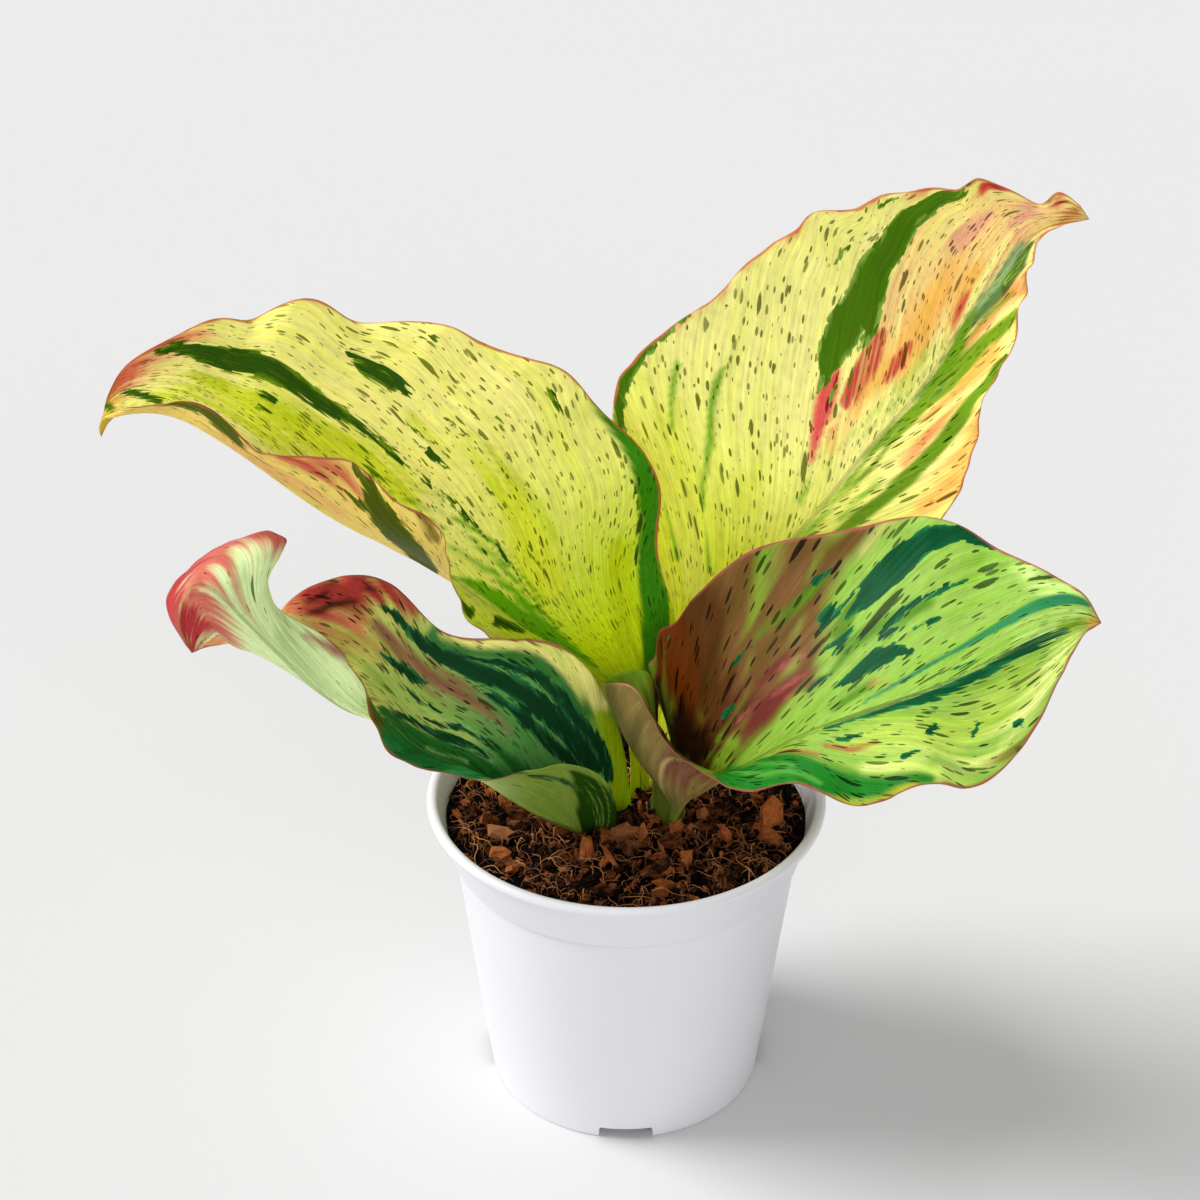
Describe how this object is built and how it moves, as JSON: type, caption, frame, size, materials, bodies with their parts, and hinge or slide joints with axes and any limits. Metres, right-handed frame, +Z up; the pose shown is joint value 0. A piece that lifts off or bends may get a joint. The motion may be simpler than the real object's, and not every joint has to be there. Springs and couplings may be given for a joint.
{
  "type": "potted peacock ginger",
  "caption": "Low foliage plant with broad wavy leaves marbled in yellow, green and crimson, growing in coir in a round white plastic nursery pot",
  "frame": {"origin": "on the floor, under the middle of the whole plant's outline seen from above; the pot's axis stands 9.5 mm to the right of it and 4 mm behind it", "axes": "+Z is up, +X is to the right and +Y is away from someone looking at the front of the plant"},
  "size_m": [0.2729, 0.1283, 0.2806],
  "materials": {
    "pot_plastic": "satin",
    "coir_soil": "matte",
    "rhizome_flesh": "matte",
    "leaf_back_left": "satin",
    "leaf_back_right": "satin",
    "leaf_front_left": "satin",
    "leaf_front_right": "satin",
    "coir_chip": "matte"
  },
  "bodies": {
    "root": {"pot": "pot_plastic", "soil": "coir_soil", "rhizome": "rhizome_flesh", "leaf_back_left": "leaf_back_left", "leaf_back_right": "leaf_back_right", "leaf_front_left": "leaf_front_left", "leaf_front_right": "leaf_front_right", "bark_chip_01": "coir_chip", "bark_chip_02": "coir_chip", "bark_chip_03": "coir_chip", "bark_chip_04": "coir_chip", "bark_chip_05": "coir_chip", "bark_chip_06": "coir_chip", "bark_chip_07": "coir_chip", "bark_chip_08": "coir_chip", "bark_chip_09": "coir_chip", "bark_chip_10": "coir_chip", "bark_chip_11": "coir_chip", "bark_chip_12": "coir_chip", "bark_chip_13": "coir_chip", "bark_chip_14": "coir_chip", "bark_chip_15": "coir_chip", "bark_chip_16": "coir_chip", "bark_chip_17": "coir_chip", "bark_chip_18": "coir_chip"}
  },
  "joints": []
}
